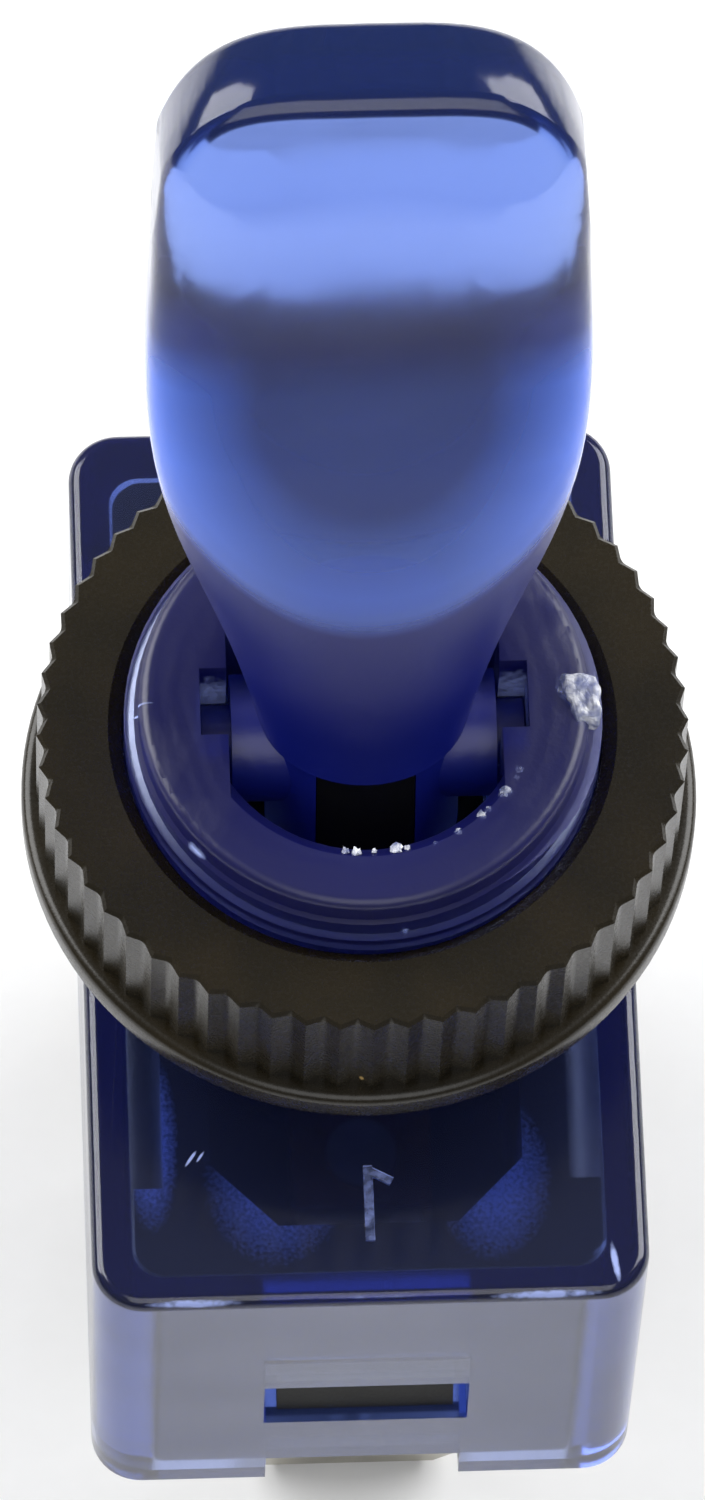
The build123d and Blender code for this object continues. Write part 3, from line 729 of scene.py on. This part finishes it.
# Film colours: a pale blue of painted glow on the paddle, and a deep blue of painted shade on the neck and
# in the pocket.
PADDLE_GLOW_BLUE = "#4F80FF"
NECK_SHADE_BLUE = "#080E80"
NECK_TOP = 7.5 * MM
NECK_BLUR = 0.7 * MM
NECK_SAG = 0.14
LEVER_TOP = 24.8 * MM
END_MIDDLE = 12.8 * MM
END_HALF = 5.6 * MM
END_SQUARENESS_FRONT = 4.7
END_SQUARENESS_BACK = 3.5
END_FOOT_SPREAD = 3.4 * MM
END_FOOT_DROP = 28 * MM
END_DEPTH = 1.4 * MM
END_TAPER = 0.095
END_ROUND = 0.6 * MM
LEVER_MARKS = [
    ((0.9, -2.0, 9.6), (0.5, 0.3, 0.04), 20),
    ((1.7, -1.9, 9.9), (0.3, 0.3, 0.04), -30),
]


def along_lever(material, place):
    """Object coordinates turned to the lever: Z runs up it from the pivot."""
    return node(
        material,
        "ShaderNodeMapping",
        {"Vector": place, "Location": PIVOT, "Rotation": (radians(-17.0), 0, 0)},
        vector_type="TEXTURE",
    )


def in_pocket(material, place):
    """1 on the walls of the light's pocket, 0 on the polished outside."""
    upright = along_lever(material, place)
    flat = node(material, "ShaderNodeVectorMath", {0: upright, 1: (1, 1, 0)}, operation="MULTIPLY")
    from_axis = node(material, "ShaderNodeVectorMath", {0: flat}, operation="LENGTH").outputs["Value"]
    inside = node(
        material,
        "ShaderNodeMapRange",
        {"Value": from_axis, "From Min": POCKET_R, "From Max": 0.95 * POCKET_R},
    )
    height = node(material, "ShaderNodeSeparateXYZ", {"Vector": upright}).outputs["Z"]
    under_top = node(
        material,
        "ShaderNodeMapRange",
        {"Value": height, "From Min": POCKET_TOP, "From Max": 0.97 * POCKET_TOP},
    )
    return node(material, "ShaderNodeMath", {0: inside, 1: under_top}, operation="MULTIPLY")


def at_neck(material, upright):
    """1 on the neck and the hub, 0 on the paddle; the line between them sags in the middle."""
    parts = node(material, "ShaderNodeSeparateXYZ", {"Vector": upright})
    across = parts.outputs["X"]
    bow = node(material, "ShaderNodeMath", {0: across, 1: across}, operation="MULTIPLY")
    line = node(
        material,
        "ShaderNodeMath",
        {0: bow, 1: -NECK_SAG / MM, 2: parts.outputs["Z"]},
        operation="MULTIPLY_ADD",
    )
    return node(
        material,
        "ShaderNodeMapRange",
        {"Value": line, "From Min": NECK_TOP, "From Max": NECK_TOP - NECK_BLUR},
    ).outputs["Result"]


def dull_shaded_parts(material, place):
    """Where the lever is dull and takes the dark film of painted shade: all of the pocket's walls, and most
    of the neck.
    """
    neck = node(
        material,
        "ShaderNodeMath",
        {0: at_neck(material, along_lever(material, place)), 1: 0.96},
        operation="MULTIPLY",
    )
    return node(
        material, "ShaderNodeMath", {0: in_pocket(material, place), 1: neck}, operation="MAXIMUM"
    )


def lever_glow_and_shade(material, place):
    """Painted glow, a pale film strong in the thick lower paddle round a clearer bowl and faint in its
    thin end, and painted shade, a dark film over most of the neck and nearly all of the dull pocket."""
    upright = along_lever(material, place)
    height = node(material, "ShaderNodeSeparateXYZ", {"Vector": upright}).outputs["Z"]
    share = node(
        material, "ShaderNodeMapRange", {"Value": height, "From Min": 0.0, "From Max": 25 * MM}
    )
    glow_by_height = node(
        material,
        "ShaderNodeValToRGB",
        {"Fac": share},
        [
            (0.0, 0.5),
            (0.3, 0.5),
            (0.38, 0.64),
            (0.5, 0.92),
            (0.6, 0.8),
            (0.66, 0.15),
            (0.72, 0.04),
            (1.0, 0.06),
        ],
    )
    near_bowl = node(
        material,
        "ShaderNodeMapping",
        {"Vector": upright, "Location": (0, 0, 14.6 * MM), "Scale": (5.2 * MM, 9 * MM, 6.6 * MM)},
        vector_type="TEXTURE",
    )
    ball = node(material, "ShaderNodeTexGradient", {"Vector": near_bowl}, gradient_type="SPHERICAL")
    bowl_dimming = node(
        material,
        "ShaderNodeMapRange",
        {"Value": ball.outputs["Fac"], "From Max": 0.42, "To Min": 1.0, "To Max": 0.2},
    )
    paddle = node(material, "ShaderNodeMath", {0: glow_by_height, 1: bowl_dimming}, operation="MULTIPLY")
    neck = at_neck(material, upright)
    paddle_or_neck = node(material, "ShaderNodeMix", {"Factor": neck, "A": paddle, "B": 0.62})
    pocket = node(material, "ShaderNodeMath", {0: in_pocket(material, place), 1: 0.9}, operation="MULTIPLY")
    return node(material, "ShaderNodeMath", {0: paddle_or_neck, 1: pocket}, operation="MAXIMUM")


lever = welded_copy("lever", "clear_lever")
bpy.ops.mesh.primitive_circle_add(vertices=96, radius=1.0, fill_type="NGON")
rounder = settle(bpy.context.object, "lever_end")
pick_faces(rounder, lambda face: True)
bpy.ops.mesh.extrude_region_move(TRANSFORM_OT_translate={"value": (0, 0, 1.0)})
bpy.ops.mesh.select_mode(type="EDGE")
bpy.ops.object.mode_set(mode="OBJECT")
corners = rounder.data.vertices
for corner in corners:
    across, up, front = corner.co
    if up > 0:
        power = 2 / (END_SQUARENESS_FRONT if front > 0.5 else END_SQUARENESS_BACK)
        corner.co.x = copysign(END_HALF * abs(across) ** power, across)
        corner.co.y = END_MIDDLE + (LEVER_TOP - END_MIDDLE) * up**power
    else:
        corner.co.x = copysign(END_HALF - END_FOOT_SPREAD * up, across)
        corner.co.y = END_MIDDLE + END_FOOT_DROP * up
    depth = END_DEPTH + END_TAPER * (LEVER_TOP - corner.co.y)
    corner.co.z = depth if front > 0.5 else -depth
for edge in rounder.data.edges:
    low, high = (corners[v].co for v in edge.vertices)
    edge.select = abs(low.z - high.z) < END_DEPTH
bpy.ops.object.mode_set(mode="EDIT")
bpy.ops.mesh.bevel(offset=END_ROUND, segments=8, affect="EDGES")
bpy.ops.mesh.select_all(action="SELECT")
bpy.ops.mesh.normals_make_consistent(inside=False)
bpy.ops.object.mode_set(mode="OBJECT")
rounder.rotation_euler = (radians(90 - 17), 0, 0)
rounder.location = PIVOT
settle(rounder, "lever_end")
apply(lever, "BOOLEAN", operation="INTERSECT", object=rounder, solver="EXACT")
bpy.data.objects.remove(rounder)
only(lever)
bpy.ops.object.shade_smooth_by_angle(angle=radians(40))
apply(lever, "WEIGHTED_NORMAL", keep_sharp=True, weight=100)
surface(
    lever,
    clear_blue_polycarbonate(
        "blue_polycarbonate_lever",
        dull_shaded_parts,
        lever_glow_and_shade,
        (0.09, 0.34),
        LEVER_TINT,
        (PADDLE_GLOW_BLUE, NECK_SHADE_BLUE),
        LEVER_MARKS,
    ),
)
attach(lever, "lever_arm")
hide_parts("lever")

# ------------------------------------------------------------------ face nut
# Black nylon, injection moulded: a ring of 60 fine flutes over a thin round flange. The skin
# is matt, a little paler in clouds, with one pale speck.
NUT_RIDGES = 60
NUT_TIP_R = 8.2 * MM
NUT_ROOT_R = 8.0 * MM
NUT_FLANGE_R = 8.59 * MM
NUT_BORE_R = 6.05 * MM
NUT_FOOT = 3.5 * MM
NUT_TOP = 8.6 * MM
NUT_FLANGE_H = 1.1 * MM
NUT_TOP_EASE = 0.1 * MM
NUT_MOUTH = 0.35 * MM

bpy.ops.mesh.primitive_circle_add(
    vertices=2 * NUT_RIDGES, radius=NUT_TIP_R, fill_type="NGON", location=(0, 0, NUT_FOOT)
)
nut = settle(bpy.context.object, "ridged_nut")
for i, corner in enumerate(nut.data.vertices):
    corner.select = False
    if i % 2:
        corner.co.xy *= NUT_ROOT_R / NUT_TIP_R
pick_faces(nut, lambda face: True)
bpy.ops.mesh.extrude_region_move(
    TRANSFORM_OT_translate={"value": (0, 0, NUT_TOP - NUT_TOP_EASE - NUT_FOOT)}
)
bpy.ops.mesh.extrude_region_move(TRANSFORM_OT_translate={"value": (0, 0, NUT_TOP_EASE)})
ease = 1 - NUT_TOP_EASE / NUT_TIP_R
bpy.ops.transform.resize(value=(ease, ease, 1), center_override=(0, 0, NUT_TOP))
bpy.ops.mesh.select_mode(type="EDGE")
bpy.ops.mesh.select_all(action="DESELECT")
bpy.ops.object.mode_set(mode="OBJECT")
corners = nut.data.vertices
for edge in nut.data.edges:
    low, high = (corners[v].co for v in edge.vertices)
    upright = (low - high).xy.length < 0.01 * MM
    edge.select = upright and low.xy.length < (NUT_ROOT_R + NUT_TIP_R) / 2
bpy.ops.object.mode_set(mode="EDIT")
bpy.ops.mesh.bevel(offset=0.12 * MM, segments=3, affect="EDGES")
bpy.ops.mesh.select_all(action="SELECT")
bpy.ops.mesh.normals_make_consistent(inside=False)
bpy.ops.object.mode_set(mode="OBJECT")

bpy.ops.mesh.primitive_cylinder_add(
    vertices=120, radius=NUT_FLANGE_R, depth=NUT_FLANGE_H, location=(0, 0, NUT_FOOT + NUT_FLANGE_H / 2)
)
flange = settle(bpy.context.object, "nut_flange")
apply(flange, "BEVEL", width=0.25 * MM, segments=4, limit_method="ANGLE", angle_limit=radians(60))
apply(nut, "BOOLEAN", operation="UNION", object=flange, solver="EXACT")
bpy.data.objects.remove(flange)

bpy.ops.mesh.primitive_circle_add(
    vertices=96, radius=NUT_BORE_R + NUT_MOUTH, fill_type="NGON", location=(0, 0, NUT_FOOT)
)
bore = settle(bpy.context.object, "nut_bore")
mouth = NUT_BORE_R / (NUT_BORE_R + NUT_MOUTH)
pick_faces(bore, lambda face: True)
for rise, grow in (
    (NUT_MOUTH, mouth),
    (NUT_TOP - NUT_FOOT - 2 * NUT_MOUTH, 1.0),
    (NUT_MOUTH, 1 / mouth),
):
    bpy.ops.mesh.extrude_region_move(TRANSFORM_OT_translate={"value": (0, 0, rise)})
    bpy.ops.transform.resize(value=(grow, grow, 1))
bpy.ops.mesh.select_all(action="SELECT")
bpy.ops.mesh.normals_make_consistent(inside=False)
bpy.ops.object.mode_set(mode="OBJECT")
apply(nut, "BOOLEAN", operation="DIFFERENCE", object=bore, solver="EXACT")
bpy.data.objects.remove(bore)
only(nut)
bpy.ops.object.shade_smooth_by_angle(angle=radians(25))
NUT_SPECKS = [((-0.25, -8.16, 5.0), (0.09, 0.3, 0.16), 0)]
surface(
    nut,
    black_nylon("matt_black_nylon", "#1A1508", "#241D0D", 0.27, 0.004 * MM, 0.5, NUT_SPECKS, "#B89A60"),
)
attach(nut, "nut")
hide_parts("face_nut")

# ------------------------------------------------------------------ floor, light and camera
# A plain pale table, two soft boxes low at the sides, and a dim even room.
TABLE_HALF = 1.5
BOX_PLACE = Vector((0.13, 0.08, 0.11))
BOX_TARGET = Vector((0.0, 0.06, -0.02))
BOX_SIZE = 0.15
BOX_WATTS = 0.38
FILL_PLACE = Vector((0.0, -0.12, 0.16))
FILL_WATTS = 0.12
ROOM_LIGHT = 0.2
CAMERA_HEIGHT_ANGLE = 66.9
CAMERA_SIDE_ANGLE = -5.0
CAMERA_TILT = 3.14
CAMERA_DISTANCE = 304 * MM
CAMERA_LENS = 282.0
AIM = Vector((0.04, 3.0, 0.0)) * MM

bpy.ops.mesh.primitive_plane_add(size=2 * TABLE_HALF, location=(0, 0, cad_box[0].z))
table = settle(bpy.context.object, "table")
paper, paper_place = new_material("white_paper")
paper_tooth = node(paper, "ShaderNodeTexNoise", {"Vector": paper_place, "Scale": 1 / (0.8 * MM)})
paper_colour = node(
    paper, "ShaderNodeValToRGB", {"Fac": paper_tooth.outputs["Fac"]}, [(0.3, "#FBFBFB"), (0.7, "#FDFDFD")]
)
paper_sheet = node(paper, "ShaderNodeBsdfPrincipled", {"Base Color": paper_colour, "Roughness": 0.8})
node(paper, "ShaderNodeOutputMaterial", {"Surface": paper_sheet})
surface(table, paper)

room = bpy.data.worlds.new("studio")
bpy.context.scene.world = room
room.use_nodes = True
room.node_tree.nodes["Background"].inputs["Color"].default_value = linear("#F4F6FA")
room.node_tree.nodes["Background"].inputs["Strength"].default_value = ROOM_LIGHT

for name, location, watts in (
    ("left_box", BOX_PLACE * Vector((-1, 1, 1)), BOX_WATTS),
    ("right_box", BOX_PLACE, BOX_WATTS),
    ("fill_box", FILL_PLACE, FILL_WATTS),
):
    box = bpy.data.objects.new(name, bpy.data.lights.new(name, "AREA"))
    box.data.size = BOX_SIZE
    box.data.energy = watts
    box.visible_camera = False
    box.location = location
    box.rotation_euler = (BOX_TARGET - location).to_track_quat("-Z", "Y").to_euler()
    bpy.context.scene.collection.objects.link(box)

height = radians(CAMERA_HEIGHT_ANGLE)
side = radians(CAMERA_SIDE_ANGLE)
back = Vector((sin(side) * cos(height), -cos(side) * cos(height), sin(height)))
level_right = (-back).cross(Vector((0, 0, 1))).normalized()
level_up = level_right.cross(-back)
tilt = radians(CAMERA_TILT)
camera_right = level_right * cos(tilt) + level_up * sin(tilt)
camera_up = level_up * cos(tilt) - level_right * sin(tilt)
camera = bpy.data.objects.new("camera", bpy.data.cameras.new("camera"))
camera.data.lens = CAMERA_LENS
camera.data.sensor_width = 36.0
camera.data.clip_start = 0.01
camera.data.clip_end = 10.0
turn = Matrix((camera_right, camera_up, back)).transposed().to_4x4()
camera.matrix_world = Matrix.Translation(AIM + back * CAMERA_DISTANCE) @ turn
bpy.context.scene.collection.objects.link(camera)
bpy.context.scene.camera = camera
bpy.context.scene.view_settings.view_transform = "Standard"
